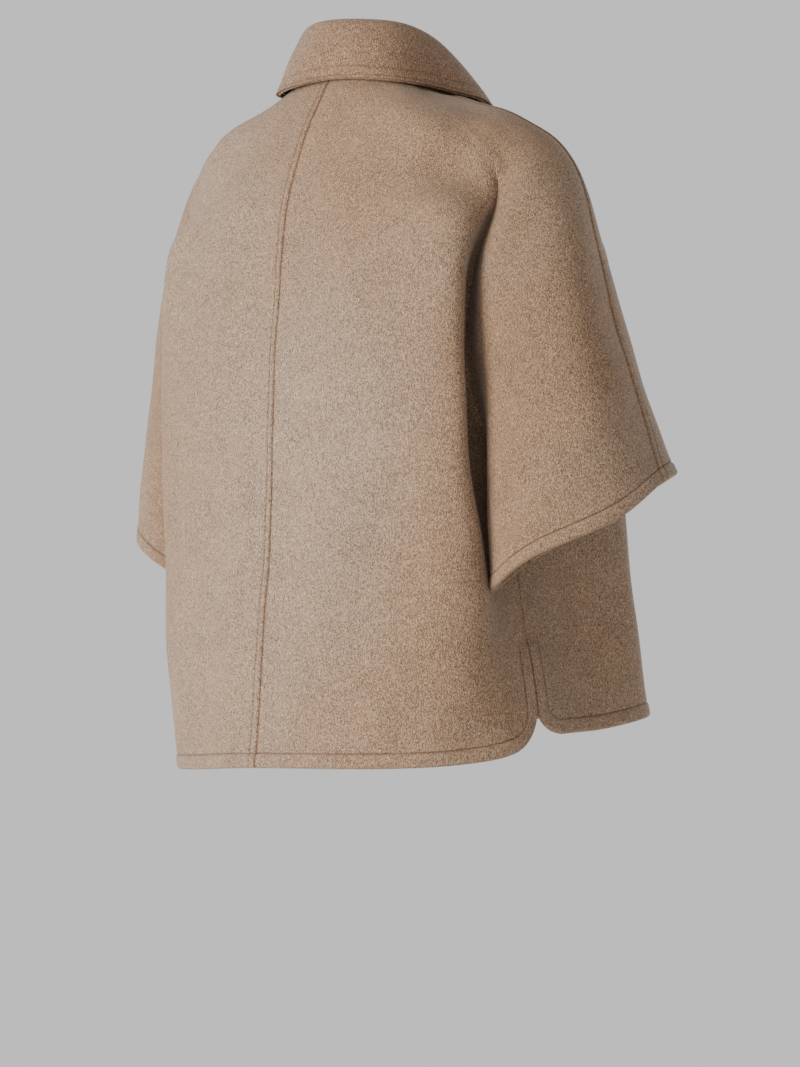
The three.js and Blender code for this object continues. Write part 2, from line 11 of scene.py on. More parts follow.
import bpy
import numpy as np
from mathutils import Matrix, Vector


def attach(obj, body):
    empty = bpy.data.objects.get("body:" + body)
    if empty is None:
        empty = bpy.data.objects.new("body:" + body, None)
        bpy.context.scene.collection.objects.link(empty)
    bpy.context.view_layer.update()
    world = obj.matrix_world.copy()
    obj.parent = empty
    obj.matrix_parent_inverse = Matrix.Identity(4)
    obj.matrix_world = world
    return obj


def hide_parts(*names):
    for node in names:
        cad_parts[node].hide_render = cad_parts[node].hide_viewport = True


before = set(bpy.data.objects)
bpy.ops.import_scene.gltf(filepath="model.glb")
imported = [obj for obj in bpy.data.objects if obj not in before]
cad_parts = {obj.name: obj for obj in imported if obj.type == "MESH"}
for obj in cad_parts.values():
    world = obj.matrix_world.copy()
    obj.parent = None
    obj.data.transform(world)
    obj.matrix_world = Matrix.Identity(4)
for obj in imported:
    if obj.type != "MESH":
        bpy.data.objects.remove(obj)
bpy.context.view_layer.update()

MM = 0.001
ACROSS, BACK, UP = 0, 1, 2
UNDERARM, HEM = 6, 8  # sections of the tables

# Cloth
CLOTH = 3.0  # double-face wool
COLLAR_CLOTH = 4.4  # two layers, topstitched together
SEAM_GAP = 0.08
FRONT_OVERLAP = 20.0  # how far each front reaches past the centre line
OVERLAP_EASE = 70.0  # how far from the centre line a front starts to move towards the overlap
OVERLAP_LIFT = 2.9  # how far each front moves from the other at the overlap
OVERLAP_CELLS = 8
VENT_HEIGHT = 95.0
VENT_FADE = 12.0  # how far below its top the vent's turned edge ends
VENT_SPREAD = 2.5  # how far each side of the vent stands back at the hem
CORNER_RADIUS = 30.0
COLLAR_SEAT = 2.1  # from the neck seam up to the foot of the stand
COLLAR_ROLL = 7.0  # from the head of the stand up to the top of the collar
LEAF_SEAT = 2.6  # from the head of the stand up to the start of the leaf

# Each armpit groove has a dip on both sides: its share of the way to the wall beside it, how far it
# spreads away from the groove, and the sections from which and at which it does
DIP_SHARE, DIP_SPREAD, DIP_STARTS, DIP_FULL = 0.3, 5.0, 3.0, 5.0
# How far the side seam and the underarm seam part below the underarm, and in how many sections
PARTING, PARTING_RUN = 7.0, 0.25
# Sections below the underarm in which the rings let go of the full ring's columns
FADE = 0.35

# Lines of one side. A row for each section: neck seam, neck base, shoulder, shoulder point, upper
# arm, chest, underarm, waist, hem. Columns: across, back, up.
CENTRE_BACK = [
    (0, 58, 28),
    (0, 80, -12),
    (0, 97, -48),
    (0, 114.5, -100),
    (0, 125.5, -160),
    (0, 133, -250),
    (0, 136, -345),
    (0, 142, -440),
    (0, 151, -581),
]
BLADE = [
    (27, 55, 26),
    (54, 76, -12),
    (78, 92, -46),
    (98, 109, -98),
    (103, 119.5, -160),
    (104, 125.5, -250),
    (103, 126, -345),
    (102, 128.5, -440),
    (102, 133.5, -582),
]
BACK_EDGE = [
    (48, 46, 18),
    (90, 64, -14),
    (138, 76, -46),
    (181, 66, -98),
    (181, 84, -160),
    (181, 87, -250),
    (183, 83, -345),
    (185, 67, -440),
    (178, 72, -577),
]
BACK_FLANK = [
    (54, 41, 14),
    (97, 58, -15),
    (148, 69, -46),
    (186, 60, -98),
    (170, 71, -160),
    (163, 74, -250),
    (161, 66, -345),
    (173, 47, -440),
    (194, 48, -571),
]
BACK_GROOVE = [
    (60, 36, 10),
    (103, 52, -16),
    (156, 61, -45),
    (187, 54, -98),
    (160, 52, -160),
    (147, 51, -250),
    (158, 15, -330),
]
BACK_FOLD = [
    (64, 30, 6),
    (108, 45, -17),
    (162, 52, -44),
    (194, 52, -96),
    (192, 71, -157),
    (188, 69, -242),
    (184, 62, -325),
    (184, 60, -385),
    (183, 56, -436),
]
SLEEVE_BACK = [
    (68, 23, 3),
    (112, 37, -17),
    (168, 42, -43),
    (206, 46, -90),
    (217, 59, -150),
    (227, 62, -222),
    (233, 63, -290),
    (235, 65, -350),
    (232, 69, -414),
]
SLEEVE_OUTER = [
    (72, 12, -1),
    (117, 24, -17),
    (176, 26, -40),
    (219, 24, -80),
    (240, 30, -138),
    (254, 32, -202),
    (267, 30, -264),
    (279, 29, -324),
    (290, 18, -378),
]
OVERARM = [
    (74, 2, -3),
    (120, 10, -17),
    (181, 4, -42),
    (214, -6, -74),
    (232, -8, -120),
    (242, -14, -177),
    (258, -20, -237),
    (275, -26, -293),
    (296, -26, -348),
]
SLEEVE_FRONT = [
    (73, -10, -6),
    (119, -6, -19),
    (174, -10, -43),
    (203, -23, -78),
    (217, -35, -130),
    (230, -45, -188),
    (244, -53, -242),
    (257, -60, -290),
    (282, -61, -338),
]
SLEEVE_INNER = [
    (69, -22, -10),
    (113, -22, -23),
    (161, -28, -48),
    (187, -44, -88),
    (198, -57, -145),
    (206, -69, -205),
    (214, -77, -260),
    (220, -80, -308),
    (231, -82, -350),
]
FRONT_FOLD = [
    (66, -29, -12),
    (108, -30, -26),
    (153, -37, -52),
    (177, -53, -93),
    (182, -66, -152),
    (180, -66, -228),
    (180, -46, -312),
    (184, -44, -350),
    (190, -43, -384),
]
FRONT_GROOVE = [
    (62, -36, -15),
    (103, -38, -29),
    (144, -46, -56),
    (168, -62, -98),
    (166, -62, -160),
    (158, -44, -245),
    (158, 15, -330),
]
FRONT_FLANK = [
    (58, -43, -19),
    (97, -47, -32),
    (136, -56, -58),
    (165, -73, -100),
    (168, -77, -160),
    (172, -76, -245),
    (168, -55, -340),
    (174, -58, -432),
    (201, -52, -549),
]
FRONT_EDGE = [
    (53, -50, -22),
    (90, -56, -36),
    (127, -65, -60),
    (160, -82, -102),
    (173, -92, -160),
    (179, -95, -245),
    (183, -98, -340),
    (188, -105, -430),
    (199, -116, -538),
]
BREAST = [
    (32, -66, -32),
    (60, -82, -52),
    (82, -96, -78),
    (98, -112, -114),
    (106, -124, -166),
    (110, -132, -250),
    (112, -138, -342),
    (114, -147, -432),
    (118, -158, -537),
]
CENTRE_FRONT = [
    (0, -73, -40),
    (0, -92, -63),
    (0, -106, -90),
    (0, -124, -125),
    (0, -137, -172),
    (0, -146, -250),
    (0, -152, -342),
    (0, -161, -432),
    (0, -172, -537),
]
# Seams that start at the underarm
SIDE_SEAM = [(158, 15, -330), (172, 6, -430), (205, 14, -558)]
UNDERARM_SEAM = [(158, 15, -330), (163, 12, -372), (170, 8, -412)]

# The left shoulder is held a little higher: how much, for each section, and the share of it that
# the lines of the body keep
LEFT_LIFT = [6, 13, 16, 18, 19, 20, 21, 23, 24]
BODY_LIFT = [1, 1, 1, 1, 1, 1, 0.8, 0.3, 0]

# name: (table, share of the left lift, whether it belongs to the body, first section)
LINES = {
    "centreBack": (CENTRE_BACK, 0, True, 0),
    "blade": (BLADE, 0.2, True, 0),
    "backEdge": (BACK_EDGE, 0.6, True, 0),
    "backFlank": (BACK_FLANK, 0.75, True, 0),
    "backGroove": (BACK_GROOVE, 0.9, False, 0),
    "backFold": (BACK_FOLD, 1, False, 0),
    "sleeveBack": (SLEEVE_BACK, 1, False, 0),
    "sleeveOuter": (SLEEVE_OUTER, 1, False, 0),
    "overarm": (OVERARM, 1, False, 0),
    "sleeveFront": (SLEEVE_FRONT, 1, False, 0),
    "sleeveInner": (SLEEVE_INNER, 1, False, 0),
    "frontFold": (FRONT_FOLD, 1, False, 0),
    "frontGroove": (FRONT_GROOVE, 0.9, False, 0),
    "frontFlank": (FRONT_FLANK, 0.75, True, 0),
    "frontEdge": (FRONT_EDGE, 0.6, True, 0),
    "breast": (BREAST, 0.2, True, 0),
    "centreFront": (CENTRE_FRONT, 0, True, 0),
    "sideSeam": (SIDE_SEAM, 0.9, True, UNDERARM),
    "underarmSeam": (UNDERARM_SEAM, 0.9, False, UNDERARM),
}

# Rings: the lines that each passes, and the columns of faces from each line to the next
FULL_RING = {
    "centreBack": 18,
    "blade": 26,
    "backEdge": 18,
    "backFlank": 12,
    "backDipIn": 6,
    "backGroove": 6,
    "backDipOut": 12,
    "backFold": 18,
    "sleeveBack": 20,
    "sleeveOuter": 18,
    "overarm": 18,
    "sleeveFront": 18,
    "sleeveInner": 14,
    "frontFold": 12,
    "frontDipOut": 6,
    "frontGroove": 6,
    "frontDipIn": 12,
    "frontFlank": 14,
    "frontEdge": 26,
    "breast": 22,
    "centreFront": 0,
}
BODY_RING = {
    "centreBack": 18,
    "blade": 26,
    "backEdge": 18,
    "backFlank": 18,
    "sideSeam": 18,
    "frontFlank": 14,
    "frontEdge": 26,
    "breast": 22,
    "centreFront": 0,
}
SLEEVE_RING = {
    "underarmSeam": 18,
    "backFold": 18,
    "sleeveBack": 20,
    "sleeveOuter": 18,
    "overarm": 18,
    "sleeveFront": 18,
    "sleeveInner": 14,
    "frontFold": 18,
}
UPPER_ROWS = 104
LOWER_ROWS = 58
FINE_STEPS = 60  # places per section while a line is measured

# Distances from a seam and from a free edge at which columns or rows are always placed
BY_SEAM = np.array([0, 0.5, 1.2, 2.2, 3.6, 5, 6.2, 6.9, 7.5, 8.1, 8.9, 10.2, 12])
BY_EDGE = np.array(
    [0, 0.12, 0.45, 1, 1.7, 2.6, 3.8, 5.2, 6.8, 8.4, 9.8, 10.9, 11.6, 12.1, 12.5]
    + [12.9, 13.4, 14.1, 15.2, 17, 19.5, 22]
)

# Relief of the cloth's face. Pairs: distance, height.
HEM_STITCH = 12.5  # from the edge to the topstitching
SEAM_STITCH = 7.5  # from the lapped edge to the topstitching
HEM_FACE = [(0, 1.0), (3, 1.15), (6, 1.2), (10, 1.0), (11.6, 0.35), (12.5, -0.85), (13.3, -0.05)]
HEM_FACE += [(14.6, 0.12), (17, 0)]
HEM_BACK = [(0, 1.1), (14, 1.1), (15.6, 0)]
LAP_OVER = [(0, -0.15), (0.5, 0.25), (1.6, 0.85), (3.6, 1.15), (5.4, 0.85), (6.6, -0.1)]
LAP_OVER += [(7.5, -0.85), (8.4, -0.25), (9.8, 0.1), (12, 0)]
LAP_UNDER = [(0, -0.2), (1.2, -0.4), (3.6, -0.2), (7, 0)]
PLAIN_SEAM = [(0, -0.7), (1.2, -0.25), (3, 0)]
EDGE_ROUND = 2.6  # radius of a folded edge
EDGE_LEFT = 0.03  # share of the thickness that is left at the very edge

# Lines that the material darkens: (distance, how dark, half width)
HEM_MARK = (HEM_STITCH, 0.65, 0.7)
JOIN_MARK = (0, 0.8, 1)
CENTRE_MARK = (0, 1, 1)
CENTRE_STITCH_MARK = (SEAM_STITCH, 0.5, 1.1)
ARM_STITCH_MARK = (SEAM_STITCH, 0.3, 1.1)

FAR = 1e3  # distance that stands for nowhere near
NO_EDGE = np.array([0.0])
SLANT_RISE = 3.2  # how soon round a sleeve its nap leans over
SHARP_ANGLE = math.radians(60)


def smooth(t):
    s = np.clip(t, 0, 1)
    return s * s * (3 - 2 * s)


def relief(profile, distance):
    at, height = np.array(profile, float).T
    return np.interp(distance, at, height)


def darkened(mark, distance):
    at, strength, half_width = mark
    return strength * np.exp(-(((distance - at) / half_width) ** 2))


def unit(v):
    return v / np.maximum(np.linalg.norm(v, axis=-1, keepdims=True), 1e-12)


def spline(points, knots):
    """Natural cubic spline through points at knots, as a function of knot values."""
    points, knots = np.asarray(points, float), np.asarray(knots, float)
    n = len(points)
    gap = np.diff(knots)
    slope = np.diff(points, axis=0) / gap[:, None]
    matrix = np.eye(n)
    right = np.zeros_like(points)
    for i in range(1, n - 1):
        matrix[i, i - 1 : i + 2] = gap[i - 1], 2 * (gap[i - 1] + gap[i]), gap[i]
        right[i] = 6 * (slope[i] - slope[i - 1])
    bend = np.linalg.solve(matrix, right)

    def at(q):
        q = np.atleast_1d(np.asarray(q, float))
        i = np.searchsorted(knots[1:-1], q)
        a = ((knots[i + 1] - q) / gap[i])[:, None]
        b = 1 - a
        pull = (gap[i] ** 2 / 6)[:, None]
        curve = (a**3 - a) * bend[i] + (b**3 - b) * bend[i + 1]
        return a * points[i] + b * points[i + 1] + curve * pull

    return at


def chord_knots(points):
    steps = np.linalg.norm(np.diff(points, axis=0), axis=1)
    return np.concatenate([[0], np.cumsum(steps)])


def lines_of(side):
    """Curves down the lines of one side; side is -1 for the right and 1 for the left."""
    curves = {}
    for name, (rows, share, body, first) in LINES.items():
        points = np.array(rows, float)
        if side > 0:
            span = slice(first, first + len(rows))
            held = np.array(BODY_LIFT[span]) if body else 1
            points[:, UP] += np.array(LEFT_LIFT[span]) * share * held
        curves[name] = spline(points, np.arange(first, first + len(rows)))

    def moved(curve, way):
        def at(q):
            parted = PARTING * (1 - np.maximum(0, 1 - (q - UNDERARM) / PARTING_RUN) ** 2)
            return curve(q) + way * parted * np.array([1, 0, 0])

        return at

    curves["sideSeam"] = moved(curves["sideSeam"], -1)
    curves["underarmSeam"] = moved(curves["underarmSeam"], 1)

    def dip(groove, near, far):
        def at(q):
            wall, other = curves[near](q), curves[far](q)
            away = unit((wall - other) * np.array([1, 1, 0]))
            strength = DIP_SPREAD * smooth((q - DIP_STARTS) / (DIP_FULL - DIP_STARTS))
            return curves[groove](q) * (1 - DIP_SHARE) + wall * DIP_SHARE + away * strength

        return at

    for half in ("back", "front"):
        curves[half + "DipIn"] = dip(half + "Groove", half + "Flank", half + "Fold")
        curves[half + "DipOut"] = dip(half + "Groove", half + "Fold", half + "Flank")
    return curves


def ring_at(curves, ring, section, closed):
    """A ring at one section: its curve, and how far along it each line lies."""
    keys = np.array([curves[name](section)[0] for name in ring])
    if closed:
        keys = np.vstack([keys, keys[:1]])
        before, after = keys[-4:-1], keys[1:4]
    else:
        flip = np.array([-1, 1, 1])
        before, after = keys[3:0:-1] * flip, keys[-2:-5:-1] * flip
    points = np.vstack([before, keys, after])
    knots = chord_knots(points)
    knots -= knots[3]
    return spline(points, knots), knots[3 : 3 + len(keys)]


def stretch(stops, cells, start, end):
    """Places between two seams: fixed distances by each seam, and even cells from line to line."""
    even = [np.linspace(a, b, n, endpoint=False) for a, b, n in zip(stops, stops[1:], cells)]
    even = np.concatenate(even + [stops[-1:]]) - stops[0]
    length = stops[-1] - stops[0]
    lead, tail = start[-1], end[-1]
    even = lead + even * (length - lead - tail) / length
    return stops[0] + np.concatenate([start[:-1], even, length - end[:-1][::-1]])


def ring_rows(curves, ring, sections, closed, cuts):
    """Points of a ring at each section, and how far along it they lie.

    cuts are its stretches: (first line, last line, distances at its start, distances at its end).
    """
    names = list(ring) + ([list(ring)[0]] if closed else [])
    rows, places = [], []
    for section in sections:
        curve, stops = ring_at(curves, ring, section, closed)
        if not closed:
            stops = np.append(stops, stops[-1] + FRONT_OVERLAP)
        at = []
        for first, last, start, end in cuts:
            cells = [ring[name] for name in names[first:last]]
            if not closed and last == len(stops) - 1:
                cells[-1] = OVERLAP_CELLS
            at.append(stretch(stops[first : last + 1], cells, start, end))
        at = np.concatenate([at[0]] + [a[1:] for a in at[1:]])
        rows.append(curve(at))
        places.append(at)
    return np.array(rows), np.array(places)


def upper_cuts():
    names = list(FULL_RING)
    groove, overarm = names.index("backGroove"), names.index("overarm")
    front = names.index("frontGroove")
    return [
        (0, groove, BY_SEAM, BY_EDGE),
        (groove, overarm, NO_EDGE, BY_SEAM),
        (overarm, front, BY_SEAM, NO_EDGE),
        (front, len(names), BY_EDGE, BY_EDGE),
    ]


def columns_in(cut, ring):
    first, last, start, end = cut
    cells = sum(list(ring.values())[first:last])
    return cells + len(start) - 1 + len(end) - 1


class Cloth:
    """The shared surface of one side: points in three grids, with what each point lies near."""

    def __init__(self, side):
        self.side = side
        curves = lines_of(side)
        cuts = upper_cuts()
        widths = [columns_in(c, FULL_RING) for c in cuts]
        widths[-1] += OVERLAP_CELLS
        self.groove = widths[0]
        self.overarm = widths[0] + widths[1]
        self.front_groove = self.overarm + widths[2]
        sections = np.linspace(0, UNDERARM, UPPER_ROWS + 1)
        upper, places = ring_rows(curves, FULL_RING, sections, False, cuts)
        last = upper[-1]
        names = list(BODY_RING)
        seam = names.index("sideSeam")
        body_cuts = [(0, seam, BY_SEAM, BY_EDGE), (seam, len(names), BY_EDGE, BY_EDGE)]
        arm = list(SLEEVE_RING).index("overarm")
        sleeve_cuts = [(0, arm, NO_EDGE, BY_SEAM), (arm, len(SLEEVE_RING), BY_SEAM, NO_EDGE)]
        start_body = np.vstack([last[: self.groove + 1], last[self.front_groove + 1 :]])
        start_sleeve = last[self.groove : self.front_groove + 1]
        body, body_at = self.lower(curves, BODY_RING, False, body_cuts, start_body)
        sleeve, sleeve_at = self.lower(curves, SLEEVE_RING, True, sleeve_cuts, start_sleeve)

        # the vent's corners are rounded: each column near it stops short of the hem by its trim
        beside = np.abs(body_at[-1] - body_at[-1][self.groove])
        inside = np.clip(CORNER_RADIUS - beside, 0, CORNER_RADIUS)
        trim = CORNER_RADIUS - np.sqrt(CORNER_RADIUS**2 - inside**2)
        body, body_left = self.finish(body, trim)
        sleeve, sleeve_left = self.finish(sleeve, np.zeros(sleeve.shape[1]))
        body_left = body_left + trim

        # distances from the free edges and the seams
        to_front_edge = places[:, -1:] - places
        upper_edge = np.where(np.arange(upper.shape[1]) > self.overarm, to_front_edge, FAR)
        ends = body_at[-1][-1] - body_at[-1]
        front_edge = np.where(np.arange(len(ends)) > self.groove, ends, FAR)
        out = np.clip(CORNER_RADIUS - beside, 0, None)
        up = np.clip(CORNER_RADIUS - body_left, 0, None)
        corner = CORNER_RADIUS - np.hypot(out, up)
        slit = np.where((out > 0) & (up > 0), corner, np.minimum(beside, body_left))
        above = smooth((body_left - VENT_HEIGHT + VENT_FADE) / VENT_FADE)
        to_vent = np.minimum(beside + above * FAR, body_left)
        body_edge = np.where(body_left > CORNER_RADIUS, to_vent, slit)
        body_edge = np.minimum(body_edge, front_edge)

        self.points, self.edge, self.centre, self.arm, self.side_seam = [], [], [], [], []
        nowhere = np.full(places.shape, FAR)
        near_arm = np.abs(places - places[:, [self.overarm]])
        self.upper = self.lay(upper, upper_edge, places, near_arm, nowhere)
        top = self.upper[-1]
        top[self.front_groove] = top[self.groove]
        body_centre = np.broadcast_to(body_at[-1], body_left.shape)
        nowhere = np.full(body_left.shape, FAR)
        near_side = np.broadcast_to(beside, body_left.shape)
        self.body = self.lay(body, body_edge, body_centre, nowhere, near_side)
        body_top = np.concatenate([top[: self.groove + 1], top[self.front_groove + 1 :]])
        self.body = np.vstack([body_top, self.body])
        arm_at = self.overarm - self.groove
        round_arm = sleeve_at[-1]
        nowhere = np.full(sleeve_left.shape, FAR)
        near_arm = np.broadcast_to(np.abs(round_arm - round_arm[arm_at]), nowhere.shape)
        underarm = np.broadcast_to(np.minimum(round_arm, round_arm[-1] - round_arm), nowhere.shape)
        self.sleeve = self.lay(sleeve, sleeve_left, nowhere, near_arm, underarm)
        self.sleeve[:, -1] = self.sleeve[:, 0]
        self.sleeve = np.vstack([top[self.groove : self.front_groove + 1], self.sleeve])

        self.points = np.vstack(self.points)
        self.points[:, ACROSS] *= side
        self.edge, self.centre, self.arm, self.side_seam = (
            np.concatenate(a) for a in (self.edge, self.centre, self.arm, self.side_seam)
        )
        self.slant = np.zeros(len(self.points))
        for grid in (self.upper[:, self.groove : self.front_groove + 1], self.sleeve):
            width = np.linspace(0, 1, grid.shape[1])
            self.slant[grid] = smooth(SLANT_RISE * np.minimum(width, 1 - width))
        self.normals = self.surface_normals()

    def lower(self, curves, ring, closed, cuts, start):
        """Fine rings below the underarm, made to start exactly on the underarm's full ring."""
        sections = np.linspace(UNDERARM, HEM, (HEM - UNDERARM) * FINE_STEPS + 1)
        rows, places = ring_rows(curves, ring, sections, closed, cuts)
        held = np.exp(-(((sections - UNDERARM) / FADE) ** 1.5))
        return rows + held[:, None, None] * (start - rows[0]), places

    def finish(self, rows, trim):
        """Even rows down to the hem's band, then rows at fixed distances from the edge."""
        steps = np.linalg.norm(np.diff(rows, axis=0), axis=2)
        down = np.vstack([np.zeros(rows.shape[1]), np.cumsum(steps, axis=0)])
        end = down[-1] - trim
        plain = end - BY_EDGE[-1]
        share = np.arange(1, LOWER_ROWS + 1)[:, None] / LOWER_ROWS
        wanted = np.vstack([plain * share, end - BY_EDGE[:-1][::-1, None]])
        made = np.empty(wanted.shape + (3,))
        for c in range(rows.shape[1]):
            for k in range(3):
                made[:, c, k] = np.interp(wanted[:, c], down[:, c], rows[:, c, k])
        return made, end - wanted

    def lay(self, rows, edge, centre, arm, side_seam):
        """Add rows of points with their distances, and give the grid of their numbers."""
        count = sum(len(p) for p in self.points)
        self.points.append(rows.reshape(-1, 3))
        stores = (self.edge, self.centre, self.arm, self.side_seam)
        for store, values in zip(stores, (edge, centre, arm, side_seam)):
            store.append(np.ascontiguousarray(values).reshape(-1))
        return count + np.arange(rows.shape[0] * rows.shape[1]).reshape(rows.shape[:2])

    def surface_normals(self):
        total = np.zeros_like(self.points)
        for grid in (self.upper, self.body, self.sleeve):
            a, b, c, d = grid[:-1, :-1], grid[:-1, 1:], grid[1:, 1:], grid[1:, :-1]
            p = self.points
            area = np.cross(p[c] - p[a], p[d] - p[b]) * self.side
            for corner in (a, b, c, d):
                np.add.at(total, corner.reshape(-1), area.reshape(-1, 3))
        for grid in (self.upper, self.body):
            total[grid[:, 0], ACROSS] = 0
        return unit(total)


def quads(grid):
    a, b, c, d = grid[:-1, :-1], grid[:-1, 1:], grid[1:, 1:], grid[1:, :-1]
    return np.stack([a, b, c, d], -1).reshape(-1, 4)


def shell(name, outer, inner, faces, marks, rim_shape=()):
    """A closed mesh from an outer and an inner face of the same cloth, joined by a rim.

    marks are values at each point for the material. rim_shape lists what the rim passes on its way
    round the edge: (how far out, height on the middle of the cloth as a share of half its thickness).
    """
    used, faces = np.unique(faces, return_inverse=True)
    faces = faces.reshape(-1, 4)
    faces = faces[(faces[:, 0] != faces[:, 1]) & (faces[:, 2] != faces[:, 3])]
    outer, inner = outer[used], inner[used]
    n = len(used)
    starts = faces.reshape(-1)
    ends = np.roll(faces, -1, axis=1).reshape(-1)
    code, back = starts.astype(np.int64) * n + ends, ends.astype(np.int64) * n + starts
    rim = ~np.isin(code, back)
    a, b = starts[rim], ends[rim]
    middle, half = (outer + inner) / 2, (outer - inner) / 2
    away = np.zeros_like(outer)
    out = unit(np.cross(middle[b] - middle[a], half[a] + half[b]))
    np.add.at(away, a, out)
    np.add.at(away, b, out)
    away = unit(away)
    edge = np.unique(a)
    place = np.zeros(n, int)
    place[edge] = np.arange(len(edge))
    layers, rings = [outer, inner], [np.stack([a, b])]
    for step, (far_out, height) in enumerate(rim_shape):
        layers.append((middle + half * height + away * far_out)[edge])
        rings.append(2 * n + step * len(edge) + place[np.stack([a, b])])
    rings.append(np.stack([a, b]) + n)
    sides = [np.stack([near[1], near[0], far[0], far[1]], 1) for near, far in zip(rings, rings[1:])]
    everything = np.vstack([faces, faces[:, ::-1] + n] + sides)
    mesh = bpy.data.meshes.new(name)
    points = np.vstack(layers) * MM
    mesh.from_pydata(points.tolist(), [], everything.tolist())
    for mark, values in marks.items():
        values = values[used]
        values = np.concatenate([values, values] + [values[edge]] * len(rim_shape)).astype(np.float32)
        mesh.attributes.new(mark, "FLOAT", "POINT").data.foreach_set("value", values)
    mesh.polygons.foreach_set("use_smooth", [True] * len(mesh.polygons))
    mesh.set_sharp_from_angle(angle=SHARP_ANGLE)
    mesh.update()
    piece = bpy.data.objects.new(name, mesh)
    bpy.context.scene.collection.objects.link(piece)
    return piece


# Soft creases and ridges on the cloth: (depth, half width, [points that it runs through])
CREASES = [
    # hollow between the shoulder blades and down the centre back
    (3.0, 46, [(0, 110, -90), (0, 133, -250), (0, 138, -380), (0, 146, -500)]),
    # fullness over each shoulder blade
    (-2.0, 40, [(-96, 112, -120), (-100, 126, -230), (-98, 127, -330)]),
    (-2.0, 40, [(96, 112, -110), (100, 126, -230), (98, 127, -330)]),
    # the shoulder runs smoothly into each sleeve above the armpit's fold
    (-2.6, 15, [(-158, 42, -38), (-181, 45, -64), (-193, 52, -90)]),
    (2.0, 17, [(-138, 68, -40), (-156, 66, -56), (-174, 64, -80)]),
    (-2.6, 15, [(158, 42, -24), (181, 45, -50), (193, 52, -74)]),
    (2.0, 17, [(138, 68, -30), (156, 66, -44), (174, 64, -66)]),
    # the left side swings out a little below the armpit
    (-3.0, 55, [(185, 67, -400), (182, 70, -480), (178, 72, -640)]),
    # the left armpit's fold stands a little proud
    (-2.2, 9, [(181, 84, -142), (181, 87, -229), (183, 83, -322), (185, 67, -420)]),
    # soft flutes above the back hem
    (1.7, 15, [(-17, 138, -360), (-16, 143, -460), (-14, 151, -600)]),
    (-1.4, 26, [(-72, 133, -330), (-74, 136, -450), (-76, 142, -600)]),
    (2.0, 15, [(70, 130, -330), (76, 132, -450), (80, 140, -600)]),
    (-1.6, 14, [(38, 135, -350), (38, 139, -460), (38, 148, -600)]),
    (-1.6, 16, [(120, 118, -340), (124, 120, -460), (128, 126, -600)]),
    (1.5, 18, [(-138, 110, -380), (-140, 108, -470), (-140, 112, -600)]),
    # the upper back, drawn towards the sleeve
    (1.4, 22, [(-70, 92, -60), (-110, 98, -110), (-150, 90, -170)]),
    (1.4, 22, [(60, 90, -50), (104, 98, -92), (146, 92, -150)]),
    # sleeves
    (1.8, 20, [(-214, 50, -120), (-232, 56, -210), (-246, 60, -330)]),
    (-1.6, 22, [(-238, 20, -130), (-256, 16, -230), (-276, 6, -330)]),
    (1.8, 20, [(214, 50, -100), (232, 56, -190), (246, 60, -310)]),
    (-1.6, 22, [(238, 20, -110), (256, 16, -210), (276, 6, -310)]),
    (1.6, 18, [(-212, -50, -130), (-222, -66, -220), (-240, -76, -310)]),
    (1.6, 18, [(212, -50, -110), (222, -66, -200), (240, -76, -290)]),
    # fronts
    (1.8, 20, [(-64, -134, -190), (-66, -146, -330), (-70, -160, -560)]),
    (-1.6, 24, [(-130, -118, -150), (-140, -124, -300), (-150, -140, -560)]),
    (1.6, 20, [(70, -132, -180), (68, -146, -330), (64, -160, -560)]),
    (-1.6, 24, [(126, -118, -140), (136, -126, -300), (146, -142, -560)]),
]
CREASE_END = 0.25  # share of a crease's length in which each end runs out
CREASE_LEFT = 0.2  # share of its depth that it keeps at its ends

# Small ripples all over the cloth
RIPPLES = 14
RIPPLE_HEIGHT = 0.22
RIPPLE_WAYS = (1.3, 1.3, 0.7)  # how far they tend to run across, back and up
RIPPLE_SHORTEST, RIPPLE_LONGEST = 45, 130  # from crest to crest
chance = np.random.default_rng(5)
ripple_ways = unit(chance.normal(size=(RIPPLES, 3)) * np.array(RIPPLE_WAYS))
ripple_lengths = chance.uniform(RIPPLE_SHORTEST, RIPPLE_LONGEST, RIPPLES)
ripple_starts = chance.uniform(0, 2 * math.pi, RIPPLES)


def crease_depth(points):
    """How far each point sinks along its normal into the soft creases, in millimetres."""
    total = np.zeros(len(points))
    for depth, half_width, path in CREASES:
        path = np.array(path, float)
        best = np.full(len(points), np.inf)
        along = np.zeros(len(points))
        legs = chord_knots(path)
        for i, (a, b) in enumerate(zip(path, path[1:])):
            leg = b - a
            t = np.clip((points - a) @ leg / (leg @ leg), 0, 1)
            away = np.linalg.norm(points - (a + t[:, None] * leg), axis=1)
            near = away < best
            best[near] = away[near]
            along[near] = (legs[i] + t[near] * (legs[i + 1] - legs[i])) / legs[-1]
        taper = smooth(along / CREASE_END) * smooth((1 - along) / CREASE_END)
        taper = taper * (1 - CREASE_LEFT) + CREASE_LEFT
        total += depth * np.exp(-((best / half_width) ** 2)) * taper
    for way, length, start in zip(ripple_ways, ripple_lengths, ripple_starts):
        total += RIPPLE_HEIGHT * np.sin(points @ way * (2 * math.pi / length) + start)
    return total


